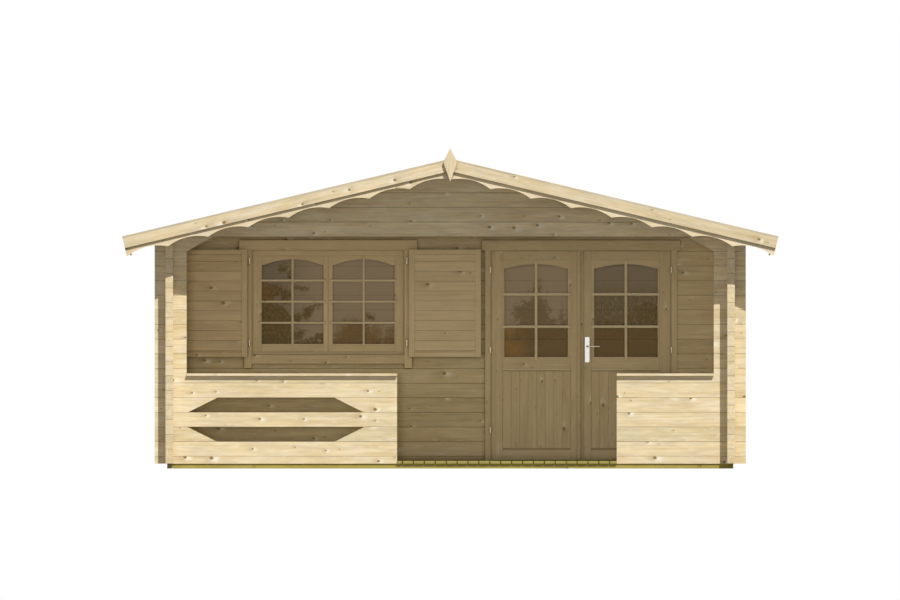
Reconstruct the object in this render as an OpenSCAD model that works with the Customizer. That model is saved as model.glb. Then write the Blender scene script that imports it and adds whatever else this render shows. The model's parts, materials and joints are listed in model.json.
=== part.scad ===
// Log garden house with a roofed porch, a casement window with shutters and a double door.
// Frame: +X to the right seen from the porch, +Y to the back, +Z up. The origin is on the
// ground, at the middle of the bounding box.

/* [House] */
// Width over the outer faces of the two side walls
house_w = 5250; // [5200:50:6300]
// Clear depth of the porch, between the porch front and the wall of the room
porch_d = 1500; // [1200:50:2200]
// Clear depth of the room
room_d = 2900; // [2400:50:3600]

/* [Logs] */
// Height of one log
log_h = 135; // [134:1:162]
// Thickness of one log
log_t = 70; // [58:1:84]
// Number of logs in a side wall
wall_logs = 16; // [16:1:18]
// How far the logs run on past a corner
log_end = 100; // [80:5:120]

/* [Roof] */
// Pitch of the roof in degrees
roof_pitch = 13.3; // [11:0.1:16]
// Overhang of the roof beside the side walls, to the tip of the bargeboard
eave_out = 401; // [320:1:500]
// Overhang in front of the porch front, to the face of the scalloped board
verge_front = 296; // [240:1:360]
// Overhang behind the back wall, to the back bargeboard
verge_back = 200; // [150:5:300]
// Thickness of the roof boards
roof_t = 18; // [16:1:22]

/* [Porch] */
// Left edge of the porch entrance, from the middle of the house
entrance_left = -490; // [-700:10:-300]
// Right edge of the porch entrance, from the middle of the house
entrance_right = 1535; // [1300:5:1700]
// Wood left at each end of the cut-outs in the left balustrade
cut_inset = 304; // [300:1:400]
// Thickness of the boards of the terrace deck
deck_t = 26; // [22:1:31]

/* [Window] */
// Middle of the window, from the middle of the house
window_x = -1126; // [-1130:1:-1080]
// Width of the pair of sashes
window_w = 1384; // [1200:2:1400]
// Height of the sashes
window_h = 885; // [740:5:890]
// Underside of the sashes above the ground
window_z = 1076; // [1060:1:1080]

/* [Shutters] */
// Width of one shutter
shutter_w = 667; // [560:1:668]
// Height of one shutter
shutter_h = 991; // [830:1:1000]
// Thickness of one shutter
shutter_t = 28; // [24:1:33]

/* [Door] */
// Middle of the double door, from the middle of the house
door_x = 1206; // [1206:1:1230]
// Width of one door leaf
leaf_w = 826; // [700:2:860]
// Thickness of a door leaf
leaf_t = 42; // [36:1:50]
// Underside of the head of the door frame above the ground
door_top = 2012; // [1900:1:2030]

/* [Hidden] */
$fn = 48;

pine = "#e6d2a8";
shaded_pine = "#cdb78a";
impregnated = "#a89b52";
glass_tint = "#5d5138";
white_metal = "#e8e6e0";
steel = "#9a9a98";

// Logs: a shallow V runs along every joint between two logs
groove_depth = 2.5;
groove_half = 3.5;
base_h = 45;
half_w = house_w / 2;
inner_x = half_w - log_t;
end_x = half_w + log_end;
side_joint = base_h;
cross_joint = base_h + log_h / 2;
wall_top = base_h + wall_logs * log_h;
gable_joint = cross_joint + (wall_logs - 1) * log_h;
head_joint = gable_joint - log_h;

// Roof: layers are measured square to the slope, down from the top of the verge batten
pitch_cos = cos(roof_pitch);
pitch_sin = sin(roof_pitch);
pitch_tan = tan(roof_pitch);
batten_t = 20;
roof_top_d = batten_t;
roof_under_d = batten_t + roof_t;
// Hairline between two sloping faces that meet
seat = 0.1;
ridge_under = wall_top + (half_w - log_t / 2) * pitch_tan;
ridge_z = ridge_under + roof_under_d / pitch_cos;
board_t = 16;
barge_d = 111;
scallop_d = 186;
scallop_pitch = 382;
scallop_rise = 40;
scallop_flat = 8;
slope_len = (half_w + eave_out) / pitch_cos;
eave_d = 190;
eave_inset = 49;
batten_w = 60;

// Finial: a pointed board over the crossing of the bargeboards, widest a little under the ridge
finial_t = 22;
finial_half_w = 64;
finial_up = 99;
finial_wide = 33;
finial_down = 212;

// Stations along the depth of the house
depth = finial_t + board_t + verge_front + 3 * log_t + porch_d + room_d + verge_back + board_t;
porch_y = -depth / 2 + finial_t + board_t + verge_front;
room_y = porch_y + log_t + porch_d;
back_y = room_y + log_t + room_d;
side_front = porch_y - log_end;
side_back = back_y + log_t + log_end;
scallop_y = porch_y - verge_front;
roof_front = scallop_y + board_t;
roof_back = back_y + log_t + verge_back;

// Purlins
purlin_w = 60;
purlin_h = 135;
side_purlin_x = 4 * 371;

// Base frame, terrace and floor
base_side_inset = 15;
base_end_inset = 9;
beam_w = 70;
joist_w = 45;
joist_gap = 500;
deck_top = base_h + deck_t;
deck_nose = 4;
floor_t = 19;

// Balustrades
balustrade_logs = 6;
balustrade_top = base_h + balustrade_logs * log_h;
stub_in = 125;
corner_x = inner_x - stub_in;
corbel_run = 243;
cap_t = 22;
cap_over = 23;
cut_slant = 272;
cut_mid = (entrance_left - end_x) / 2;
cut_long = entrance_left + end_x - 2 * cut_inset;

// Window
trim_t = 18;
sash_t = 42;
sash_set = 3;
sash_split = 6;
frame_rebate = 14;
window_jamb = 50;
window_l = window_x - window_w / 2;
window_r = window_x + window_w / 2;
window_top = window_z + window_h;
window_frame_top = window_top + 91;
window_frame_foot = window_z - 56;
window_trim_w = 70;
window_trim_in = 12;
window_trim_foot = window_z - 149;
window_head_z = window_top + 53;
window_head_over = 128;
head_board_h = 93;
sill_board = [window_z - 110, window_z - 27];
sash_stile = 79;
sash_meeting = 42;
sash_foot = 73;
sash_head = 31;
sash_arch = 52;
sash_clear = 2;
glass_t = 4;
arch_shoulder = 22;

// Shutters
shutter_z = 1029;
shutter_gap = 7;
shutter_edge = 18;
shutter_axis = 34;
shutter_pins = [128, shutter_h - 104];
eye_r = 8;
eye_h = 30;
eye_web_t = 4;
eye_plate_t = 3;
eye_plate_w = 22;
shutter_stile = 55;
shutter_rail = 46;
shutter_sink = 6;
shutter_y = room_y - trim_t - shutter_gap - shutter_t / 2;

// Door
leaf_gap = 8;
leaf_foot = deck_top + 7;
leaf_top = door_top - 5;
leaf_l = door_x - leaf_gap / 2 - leaf_w;
leaf_r = door_x + leaf_gap / 2 + leaf_w;
jamb_gap = 5;
jamb_w = 40;
door_open_l = leaf_l - jamb_gap - jamb_w;
door_open_r = leaf_r + jamb_gap + jamb_w;
door_frame_top = door_top + jamb_w;
door_trim_w = 50;
door_head_over = 39;
wall_split = min(window_frame_top, door_frame_top);
stop_w = 15;
stop_gap = 6;
leaf_stile = 123;
leaf_meeting = 117;
leaf_glass_z = 1029;
leaf_glass_shoulder = door_top - 166;
leaf_arch = 39;
panel_stile = 108;
panel_meeting = 91;
panel_z0 = 173;
panel_z1 = 904;
panel_sink = 10;
astragal_l = 30;
astragal_r = 15;
astragal_t = 14;
hinge_r = 7;
hinge_h = 53;
hinge_out = 6;
hinge_y = room_y - trim_t - hinge_r;
hinge_foot = leaf_foot + 276;
hinge_head = leaf_top - 175;
hinge_rows = [hinge_foot, (hinge_foot + hinge_head) / 2, hinge_head];
pin_r = 4;
pin_clear = 0.3;
hinge_foot_w = 8;
web_run = [3, 14];
plate_x = leaf_gap / 2 + 28;
plate_w = 48;
plate_h = 232;
plate_t = 6;
plate_z = 980;
lever_z = 1126;
lever_x = door_x + 57;
lever_len = 118;
lever_r = 5.5;
spindle_r = 8.5;
bore_r = 9;
lever_out = 45;

// Height of what carries the roof boards, over a point on the X axis
function under(x) = ridge_under - seat - abs(x) * pitch_tan;

// A point on the right slope: s along the slope, d square to it and downwards
function on_slope(s, d) = [s * pitch_cos - d * pitch_sin, ridge_z - s * pitch_sin - d * pitch_cos];

// Whether a stack of logs begins or ends at one of its own joints
function is_joint(z, rows) = len([for (row = rows) if (abs(row - z) < 0.5) row]) > 0;

// One face of a stack of logs, from bottom to top, with its V grooves turned to one side
function log_face(u, turn, rows, z0, z1) = concat(
    is_joint(z0, rows) ? [[u + turn * groove_depth, z0], [u, z0 + groove_half]] : [[u, z0]],
    [for (z = rows) if (z > z0 + groove_half && z < z1 - groove_half)
        each [[u, z - groove_half], [u + turn * groove_depth, z], [u, z + groove_half]]],
    is_joint(z1, rows) ? [[u, z1 - groove_half], [u + turn * groove_depth, z1]] : [[u, z1]]);

function reversed(list) = [for (i = [len(list) - 1 : -1 : 0]) list[i]];

module log_profile(rows, z0, z1)
    polygon(concat(log_face(0, 1, rows, z0, z1), reversed(log_face(log_t, -1, rows, z0, z1))));

// An outline in X and Z, as deep as from y0 to y1
module slab_y(y0, y1) translate([0, y1, 0]) rotate([90, 0, 0]) linear_extrude(y1 - y0) children();

module box(from, to) translate(from) cube(to - from);

// Logs that lie across the house, from x0 to x1, with their front face at y
module cross_logs(x0, x1, z0, z1, y)
    difference() {
        translate([x0, y, 0]) rotate([90, 0, 90]) linear_extrude(x1 - x0)
            log_profile([cross_joint : log_h : z1 + 1], z0, z1);
        for (side = [-1, 1], z = [cross_joint : log_h : z1 + log_h])
            if (side * (half_w - log_t / 2) > x0 && side * (half_w - log_t / 2) < x1 && z > z0 - log_h)
                corner_notch(side, z, y);
    }

// What a side log takes out of a cross log where the two are halved together
module corner_notch(side, z, y)
    translate([side * (half_w - log_t / 2), y + log_t / 2, z])
        cube([log_t, log_t + 2, log_h / 2], center = true);

// Everything under the roof boards
module under_roof()
    slab_y(side_front - 1, side_back + 1)
        polygon([[-end_x - 1, 0], [end_x + 1, 0], [end_x + 1, under(end_x + 1)],
                 [0, under(0)], [-end_x - 1, under(end_x + 1)]]);

module ridge_purlin_shape()
    slab_y(roof_front, roof_back)
        polygon([[-purlin_w / 2, ridge_under - purlin_h], [purlin_w / 2, ridge_under - purlin_h],
                 [purlin_w / 2, under(purlin_w / 2)], [0, under(0)],
                 [-purlin_w / 2, under(purlin_w / 2)]]);

module side_purlin_shape(side)
    slab_y(roof_front, roof_back)
        polygon([for (p = [[-1, -purlin_h], [1, -purlin_h], [1, 0], [-1, 0]])
            let (x = side * side_purlin_x + p[0] * purlin_w / 2)
            [x, p[1] < 0 ? under(side_purlin_x) - purlin_h : under(x)]]);

// Logs of a gable from z0 up to the roof, with pockets for the three purlins
module gable(z0, y)
    difference() {
        intersection() {
            cross_logs(-end_x, end_x, z0, ridge_under + 1, y);
            under_roof();
        }
        ridge_purlin_shape();
        for (side = [-1, 1]) side_purlin_shape(side);
    }

module side_wall(side)
    intersection() {
        difference() {
            translate([side > 0 ? inner_x : -half_w, side_back, 0]) rotate([90, 0, 0])
                linear_extrude(side_back - side_front)
                    log_profile([side_joint : log_h : wall_top - 1], base_h, wall_top + log_h / 4);
            for (y = [porch_y, room_y, back_y], z = [side_joint : log_h : wall_top + 1])
                translate([side * (half_w - log_t / 2), y + log_t / 2, z])
                    cube([log_t + 2, log_t, log_h / 2], center = true);
        }
        under_roof();
    }

module base_frame() color(impregnated) {
    y0 = porch_y + base_end_inset;
    y1 = back_y + log_t - base_end_inset;
    x1 = half_w - base_side_inset;
    difference() {
        box([-x1, y0, 0], [x1, y1, base_h]);
        box([-x1 + beam_w, y0 + beam_w, -1], [x1 - beam_w, y1 - beam_w, base_h + 1]);
    }
    joists = floor((y1 - y0 - beam_w) / joist_gap);
    for (i = [1 : joists - 1]) {
        y = y0 + beam_w / 2 + i * (y1 - y0 - beam_w) / joists - joist_w / 2;
        box([-x1 + beam_w / 2, y, 0], [x1 - beam_w / 2, y + joist_w, base_h]);
    }
    box([-x1 + beam_w / 2, room_y, 0], [x1 - beam_w / 2, room_y + log_t, base_h]);
}

module terrace_deck() color(impregnated) {
    box([-inner_x, porch_y + log_t, base_h], [inner_x, room_y, deck_top]);
    box([entrance_left, porch_y - deck_nose, base_h], [entrance_right, porch_y + log_t + 1, deck_top]);
}

module room_floor() color(pine)
    box([-inner_x, room_y + log_t, base_h], [inner_x, back_y, base_h + floor_t]);

module left_side_wall() color(pine) side_wall(-1);

module right_side_wall() color(pine) side_wall(1);

module back_wall() color(pine) gable(base_h, back_y);

module front_wall_left() color(shaded_pine)
    cross_logs(-end_x, window_l - window_jamb, base_h, wall_split, room_y);

module front_wall_under_window() color(shaded_pine)
    cross_logs(window_l - window_jamb, window_r + window_jamb, base_h, window_frame_foot, room_y);

module front_wall_middle() color(shaded_pine)
    cross_logs(window_r + window_jamb, door_open_l, base_h, wall_split, room_y);

module front_wall_right() color(shaded_pine)
    cross_logs(door_open_r, end_x, base_h, wall_split, room_y);

module front_wall_gable() color(shaded_pine)
    difference() {
        gable(wall_split, room_y);
        frame_space(window_l - window_jamb, window_r + window_jamb, window_frame_top);
        frame_space(door_open_l, door_open_r, door_frame_top);
    }

// The room that a frame takes above the foot of the gable, where it reaches that high
module frame_space(x0, x1, top)
    if (top > wall_split + 0.5)
        box([x0, room_y - 1, wall_split - 1], [x1, room_y + log_t + 1, top]);

module porch_gable() color(pine) gable(gable_joint, porch_y);

// The short logs of a porch corner, from the balustrade up to the corbel under the gable
module corner_logs() color(pine)
    for (side = [-1, 1]) {
        foot = balustrade_top - log_h / 2;
        x_in = corner_x - corbel_run;
        intersection() {
            cross_logs(side > 0 ? x_in : -end_x, side > 0 ? end_x : -x_in, foot, gable_joint, porch_y);
            slab_y(porch_y - 1, porch_y + log_t + 1)
                polygon([for (p = [[end_x + 1, foot], [corner_x, foot], [corner_x, head_joint],
                                   [x_in, gable_joint], [end_x + 1, gable_joint]])
                    [side * p[0], p[1]]]);
        }
    }

// One log high, long edge towards the joint between the two cut-outs
module cut_out(z0, z1, long_edge_up) {
    inset_low = long_edge_up ? cut_slant : 0;
    inset_top = long_edge_up ? 0 : cut_slant;
    slab_y(porch_y - 1, porch_y + log_t + 1)
        polygon([[cut_mid - cut_long / 2 + inset_low, z0], [cut_mid + cut_long / 2 - inset_low, z0],
                 [cut_mid + cut_long / 2 - inset_top, z1], [cut_mid - cut_long / 2 + inset_top, z1]]);
}

module balustrade(x0, x1, cap_x0, cap_x1) {
    top_log = balustrade_top - log_h / 2;
    cross_logs(x0, x1, base_h, top_log, porch_y);
    cross_logs(cap_x0, cap_x1, top_log, balustrade_top, porch_y);
}

module left_balustrade() color(pine)
    difference() {
        balustrade(-end_x, entrance_left, -corner_x, entrance_left);
        cut_out(cross_joint + log_h, cross_joint + 2 * log_h, true);
        cut_out(cross_joint + 3 * log_h, cross_joint + 4 * log_h, false);
    }

module right_balustrade() color(pine)
    balustrade(entrance_right, end_x, entrance_right, corner_x);

module balustrade_caps() color(pine)
    for (span = [[-corner_x, entrance_left], [entrance_right, corner_x]])
        box([span[0], porch_y - cap_over, balustrade_top],
            [span[1], porch_y + log_t + cap_over, balustrade_top + cap_t]);

module ridge_purlin() color(pine) ridge_purlin_shape();

module side_purlins() color(pine)
    for (side = [-1, 1]) side_purlin_shape(side);

// A strip of the right slope between two depths, mitred at the ridge and cut square at the eave
module slope_strip(d0, d1, s1)
    polygon([[0, ridge_z - d0 / pitch_cos], on_slope(s1, d0), on_slope(s1, d1),
             [0, ridge_z - d1 / pitch_cos]]);

module on_side(side) mirror([side < 0 ? 1 : 0, 0, 0]) children();

module roof_boards(side)
    on_side(side) slab_y(roof_front, roof_back)
        slope_strip(roof_top_d, roof_under_d, slope_len - eave_inset);

module left_roof_boards() color(pine) roof_boards(-1);

module right_roof_boards() color(pine) roof_boards(1);

module scalloped_board(side) {
    half_chord = (scallop_pitch - scallop_flat) / 2;
    radius = (half_chord * half_chord + scallop_rise * scallop_rise) / (2 * scallop_rise);
    first = scallop_d * pitch_tan;
    count = floor((slope_len - first) / scallop_pitch);
    on_side(side) slab_y(scallop_y, scallop_y + board_t)
        difference() {
            slope_strip(roof_top_d, scallop_d, slope_len);
            for (i = [0 : count - 1])
                translate(on_slope(first + (i + 0.5) * scallop_pitch,
                                   scallop_d - scallop_rise + radius))
                    circle(r = radius, $fn = 180);
        }
}

module left_scalloped_board() color(pine) scalloped_board(-1);

module right_scalloped_board() color(pine) scalloped_board(1);

module bargeboard(side, y)
    on_side(side) slab_y(y, y + board_t) slope_strip(roof_top_d, barge_d, slope_len);

module left_bargeboard() color(pine) bargeboard(-1, scallop_y - board_t);

module right_bargeboard() color(pine) bargeboard(1, scallop_y - board_t);

module left_back_bargeboard() color(pine) bargeboard(-1, roof_back);

module right_back_bargeboard() color(pine) bargeboard(1, roof_back);

// Battens that cap the front and back edges of a slope
module verge_battens(side)
    on_side(side) {
        slab_y(scallop_y - board_t, scallop_y - board_t + batten_w)
            slope_strip(0, roof_top_d - seat, slope_len);
        slab_y(roof_back + board_t - batten_w, roof_back + board_t)
            slope_strip(0, roof_top_d - seat, slope_len);
    }

module left_verge_battens() color(pine) verge_battens(-1);

module right_verge_battens() color(pine) verge_battens(1);

// Boards along the low ends of the roof boards
module eave_boards() color(pine) {
    s0 = slope_len - eave_inset + seat;
    for (side = [-1, 1])
        on_side(side) slab_y(roof_front, roof_back)
            polygon([on_slope(s0, roof_top_d), on_slope(s0 + board_t, roof_top_d),
                     on_slope(s0 + board_t, eave_d), on_slope(s0, eave_d)]);
}

module finial() color(pine)
    slab_y(scallop_y - board_t - finial_t, scallop_y - board_t)
        polygon([[0, ridge_z + finial_up], [finial_half_w, ridge_z - finial_wide],
                 [0, ridge_z - finial_down], [-finial_half_w, ridge_z - finial_wide]]);

// Outline of a pane: square below, with two shoulders and a low arch above
module arched_pane(x0, x1, z0, z_shoulder, rise) {
    half = (x1 - x0) / 2 - arch_shoulder;
    radius = (half * half + rise * rise) / (2 * rise);
    translate([x0, z0]) square([x1 - x0, z_shoulder - z0]);
    intersection() {
        translate([(x0 + x1) / 2, z_shoulder + rise - radius]) circle(r = radius, $fn = 180);
        translate([x0, z_shoulder - 1]) square([x1 - x0, rise + 2]);
    }
}

module window_frame() color(shaded_pine)
    difference() {
        box([window_l - window_jamb, room_y, window_frame_foot],
            [window_r + window_jamb, room_y + log_t, window_frame_top]);
        box([window_l - sash_clear, room_y - 1, window_z - sash_clear],
            [window_r + sash_clear, room_y + sash_set + sash_t, window_top + sash_clear]);
        box([window_l + frame_rebate, room_y, window_z + frame_rebate],
            [window_r - frame_rebate, room_y + log_t + 1, window_top - frame_rebate]);
    }

module window_trim() color(shaded_pine) {
    y = room_y - trim_t;
    for (side = [-1, 1]) {
        x0 = window_x + side * (window_w / 2 + window_trim_in);
        x1 = x0 + side * window_trim_w;
        box([min(x0, x1), y, window_trim_foot], [max(x0, x1), room_y, window_head_z]);
    }
    box([window_l - window_head_over, y, window_head_z],
        [window_r + window_head_over, room_y, window_head_z + head_board_h]);
    box([window_l - window_trim_in, y, sill_board[0]], [window_r + window_trim_in, room_y, sill_board[1]]);
}

// Outlines of the pane of one sash; side is -1 for the left sash
module sash_pane(side) {
    outer = window_x + side * (window_w / 2 - sash_stile);
    inner = window_x + side * sash_meeting;
    arched_pane(min(outer, inner), max(outer, inner), window_z + sash_foot,
                window_top - sash_head - sash_arch, sash_arch);
}

module window_sashes() color(shaded_pine)
    for (side = [-1, 1]) {
        outer = window_x + side * window_w / 2;
        inner = window_x + side * sash_split / 2;
        slab_y(room_y + sash_set, room_y + sash_set + sash_t)
            difference() {
                translate([min(outer, inner), window_z])
                    square([abs(outer - inner), window_h]);
                sash_pane(side);
            }
    }

module window_glass() color(glass_tint)
    for (side = [-1, 1])
        slab_y(room_y + sash_set + (sash_t - glass_t) / 2, room_y + sash_set + (sash_t + glass_t) / 2)
            sash_pane(side);

module door_frame() color(shaded_pine) {
    stop_y = room_y + leaf_t + stop_gap;
    difference() {
        box([door_open_l, room_y, base_h], [door_open_r, room_y + log_t, door_frame_top]);
        box([door_open_l + jamb_w, room_y - 1, deck_top], [door_open_r - jamb_w, stop_y, door_top]);
        box([door_open_l + jamb_w + stop_w, room_y, deck_top],
            [door_open_r - jamb_w - stop_w, room_y + log_t + 1, door_top - stop_w]);
    }
}

module door_trim() color(shaded_pine) {
    y = room_y - trim_t;
    for (x = [door_open_l + jamb_w - door_trim_w, door_open_r - jamb_w])
        box([x, y, deck_top], [x + door_trim_w, room_y, door_top]);
    box([door_open_l - door_head_over, y, door_top],
        [door_open_r + door_head_over, room_y, door_top + head_board_h]);
}

// The hole that the spindle of the lever turns in
module spindle_bore(y0, y1)
    translate([lever_x, y0, lever_z]) rotate([-90, 0, 0]) cylinder(r = bore_r, h = y1 - y0);

module leaf_pane(side) {
    outer = door_x + side * (leaf_gap / 2 + leaf_w - leaf_stile);
    inner = door_x + side * (leaf_gap / 2 + leaf_meeting);
    arched_pane(min(outer, inner), max(outer, inner), leaf_glass_z, leaf_glass_shoulder, leaf_arch);
}

module leaf(side) {
    outer = door_x + side * (leaf_gap / 2 + leaf_w);
    inner = door_x + side * leaf_gap / 2;
    panel_out = outer - side * panel_stile;
    panel_in = inner + side * panel_meeting;
    strip = inner + side * (side < 0 ? astragal_l : astragal_r);
    difference() {
        box([min(outer, inner), room_y, leaf_foot], [max(outer, inner), room_y + leaf_t, leaf_top]);
        slab_y(room_y - 1, room_y + leaf_t + 1) leaf_pane(side);
        for (y = [room_y - panel_sink, room_y + leaf_t - panel_sink])
            box([min(panel_out, panel_in), y, panel_z0],
                [max(panel_out, panel_in), y + 2 * panel_sink, panel_z1]);
        if (side > 0) spindle_bore(room_y - 1, room_y + leaf_t + 1);
    }
    box([min(inner, strip), room_y - astragal_t, leaf_foot],
        [max(inner, strip), room_y + 1, leaf_top]);
}

module leaf_glass(side)
    slab_y(room_y + (leaf_t - glass_t) / 2, room_y + (leaf_t + glass_t) / 2) leaf_pane(side);

module left_door() color(shaded_pine) leaf(-1);

module right_door() color(shaded_pine) leaf(1);

module left_door_glass() color(glass_tint) leaf_glass(-1);

module right_door_glass() color(glass_tint) leaf_glass(1);

function hinge_x(side) = door_x + side * (leaf_gap / 2 + leaf_w + hinge_out);

// Lower half of each door hinge: a barrel with the pin in it, on a small block on the trim
module door_hinges() color(steel)
    for (side = [-1, 1], z = hinge_rows) {
        x = hinge_x(side);
        foot = z - hinge_h / 2;
        translate([x, hinge_y, foot]) cylinder(r = hinge_r, h = hinge_h / 2 - pin_clear / 2);
        translate([x, hinge_y, foot]) cylinder(r = pin_r, h = hinge_h - 2);
        box([min(x, x + side * hinge_foot_w), hinge_y, foot],
            [max(x, x + side * hinge_foot_w), hinge_y + hinge_r, z - pin_clear / 2]);
    }

// Upper half of the hinges of one leaf: a barrel that turns on the pin, and a web on the leaf
module knuckles(side) color(steel)
    for (z = hinge_rows) {
        x = hinge_x(side);
        z0 = z + pin_clear / 2;
        z1 = z + hinge_h / 2;
        web = [x - side * web_run[0], x - side * web_run[1]];
        difference() {
            union() {
                translate([x, hinge_y, z0]) cylinder(r = hinge_r, h = z1 - z0);
                box([min(web), hinge_y, z0], [max(web), room_y, z1]);
            }
            translate([x, hinge_y, z0 - 1]) cylinder(r = pin_r + pin_clear, h = z1 - z0 + 2);
        }
    }

module left_door_knuckles() knuckles(-1);

module right_door_knuckles() knuckles(1);

module handle_plates() color(white_metal)
    for (y = [room_y - plate_t, room_y + leaf_t])
        difference() {
            box([door_x + plate_x, y, plate_z],
                [door_x + plate_x + plate_w, y + plate_t, plate_z + plate_h]);
            spindle_bore(y - 1, y + plate_t + 1);
        }

module door_lever() color(white_metal) {
    y0 = room_y - lever_out;
    y1 = room_y + leaf_t + lever_out;
    translate([lever_x, y0, lever_z]) rotate([-90, 0, 0]) cylinder(r = spindle_r, h = y1 - y0);
    for (y = [y0, y1])
        translate([lever_x, y, lever_z]) {
            rotate([0, 90, 0]) cylinder(r = lever_r, h = lever_len - lever_r);
            translate([lever_len - lever_r, 0, 0]) sphere(r = lever_r);
            sphere(r = spindle_r);
        }
}

module shutter(side) {
    x0 = window_x + side * (window_w / 2 + shutter_axis + shutter_edge);
    x1 = x0 + side * shutter_w;
    y0 = shutter_y - shutter_t / 2;
    y1 = shutter_y + shutter_t / 2;
    xa = min(x0, x1);
    xb = max(x0, x1);
    difference() {
        box([xa, y0, shutter_z], [xb, y1, shutter_z + shutter_h]);
        for (y = [y0 - shutter_sink, y1 - shutter_sink])
            box([xa + shutter_stile, y, shutter_z + shutter_rail],
                [xb - shutter_stile, y + 2 * shutter_sink, shutter_z + shutter_h - shutter_rail]);
    }
}

module left_shutter() color(shaded_pine) shutter(-1);

module right_shutter() color(shaded_pine) shutter(1);

function shutter_hinge_x(side) = window_x + side * (window_w / 2 + shutter_axis);

// Lower half of each shutter hinge: a barrel with the pin in it, on a block on the window trim
module shutter_hinges() color(steel)
    for (side = [-1, 1], dz = shutter_pins) {
        x = shutter_hinge_x(side);
        z = shutter_z + dz;
        translate([x, shutter_y, z - eye_h]) cylinder(r = eye_r, h = eye_h - pin_clear / 2);
        translate([x, shutter_y, z - eye_h]) cylinder(r = pin_r, h = 2 * eye_h - 2);
        box([x - eye_r, shutter_y, z - eye_h], [x + eye_r, room_y - trim_t, z - pin_clear / 2]);
    }

// Eyes that turn on those pins, each on a web and a plate on the edge of the shutter
module shutter_eyes(side) color(steel)
    for (dz = shutter_pins) {
        x = shutter_hinge_x(side);
        z0 = shutter_z + dz + pin_clear / 2;
        z1 = shutter_z + dz + eye_h;
        edge = x + side * shutter_edge;
        difference() {
            union() {
                translate([x, shutter_y, z0]) cylinder(r = eye_r, h = z1 - z0);
                box([min(x, edge), shutter_y - eye_web_t / 2, z0],
                    [max(x, edge), shutter_y + eye_web_t / 2, z1]);
                box([min(edge, edge - side * eye_plate_t), shutter_y - eye_plate_w / 2, z0],
                    [max(edge, edge - side * eye_plate_t), shutter_y + eye_plate_w / 2, z1]);
            }
            translate([x, shutter_y, z0 - 1]) cylinder(r = pin_r + pin_clear, h = z1 - z0 + 2);
        }
    }

module left_shutter_eyes() shutter_eyes(-1);

module right_shutter_eyes() shutter_eyes(1);

base_frame();
terrace_deck();
room_floor();
left_side_wall();
right_side_wall();
back_wall();
front_wall_left();
front_wall_under_window();
front_wall_middle();
front_wall_right();
front_wall_gable();
porch_gable();
corner_logs();
left_balustrade();
right_balustrade();
balustrade_caps();
ridge_purlin();
side_purlins();
left_roof_boards();
right_roof_boards();
left_scalloped_board();
right_scalloped_board();
left_bargeboard();
right_bargeboard();
left_back_bargeboard();
right_back_bargeboard();
left_verge_battens();
right_verge_battens();
eave_boards();
finial();
window_frame();
window_trim();
window_sashes();
window_glass();
door_frame();
door_trim();
left_door();
right_door();
left_door_glass();
right_door_glass();
door_hinges();
handle_plates();
door_lever();
left_door_knuckles();
right_door_knuckles();
left_shutter();
right_shutter();
shutter_hinges();
left_shutter_eyes();
right_shutter_eyes();
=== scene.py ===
import json
import math

import bpy
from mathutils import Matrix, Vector


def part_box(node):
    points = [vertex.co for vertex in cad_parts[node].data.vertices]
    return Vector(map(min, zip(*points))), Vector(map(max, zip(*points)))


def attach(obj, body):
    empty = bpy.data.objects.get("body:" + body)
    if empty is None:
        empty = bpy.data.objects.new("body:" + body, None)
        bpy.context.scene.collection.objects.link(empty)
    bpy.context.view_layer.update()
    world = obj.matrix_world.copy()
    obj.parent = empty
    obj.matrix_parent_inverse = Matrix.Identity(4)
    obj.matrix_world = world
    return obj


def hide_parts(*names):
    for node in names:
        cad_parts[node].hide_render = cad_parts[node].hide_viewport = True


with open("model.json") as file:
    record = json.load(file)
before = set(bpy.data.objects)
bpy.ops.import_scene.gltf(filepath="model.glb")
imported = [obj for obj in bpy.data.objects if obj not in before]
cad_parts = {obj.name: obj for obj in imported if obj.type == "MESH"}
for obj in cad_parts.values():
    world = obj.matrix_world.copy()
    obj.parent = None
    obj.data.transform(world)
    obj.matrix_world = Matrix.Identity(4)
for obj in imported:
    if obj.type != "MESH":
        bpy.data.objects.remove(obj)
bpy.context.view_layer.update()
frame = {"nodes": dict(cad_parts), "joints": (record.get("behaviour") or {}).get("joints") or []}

nodes = frame["nodes"]

# Directions of the frame
X, Y, Z = Vector((1, 0, 0)), Vector((0, 1, 0)), Vector((0, 0, 1))
# Grains: the direction along a board, then across its face, then through its thickness
UPRIGHT = (Z, X, Y)
LEVEL = (X, Z, Y)
DEEP = (Y, X, Z)
LOG_SIDE = (Y, Z, X)

LOG_HIGH = 0.135
PITCH = math.radians(13.3)
SLOPE = (Vector((math.cos(PITCH), 0, -math.sin(PITCH))),
         Vector((math.sin(PITCH), 0, math.cos(PITCH))), Y)

# ---- stations read from the frame
floor_low, floor_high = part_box("room_floor")
deck_low, deck_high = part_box("terrace_deck")
sash_low, sash_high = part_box("window_sashes")
pane_low, pane_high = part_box("window_glass")
casing_low, casing_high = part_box("window_trim")
hood_low, hood_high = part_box("door_trim")
roof_low, roof_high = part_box("right_roof_boards")

wall_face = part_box("front_wall_left")[0].y
rail_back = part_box("left_balustrade")[1].y
entrance = (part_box("left_balustrade")[1].x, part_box("right_balustrade")[0].x)
door_meeting = (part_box("left_door")[1].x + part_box("right_door")[0].x) / 2
base_top = floor_low.z
cross_joint = base_top + LOG_HIGH / 2

pivots = {joint["name"]: joint["pos_m"] for joint in frame["joints"]}
hinge_pins = [place[0] for name, place in pivots.items() if name.endswith("_hinge")]
spindle_x, _, spindle_z = pivots["lever_turn"]


# ---- the camera
VIEW_WIDTH = 8.298
VIEW_FROM = (-0.002, -20, 1.554)


def new_object(name, data):
    """An object in the scene."""
    made = bpy.data.objects.new(name, data)
    bpy.context.scene.collection.objects.link(made)
    return made


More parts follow.
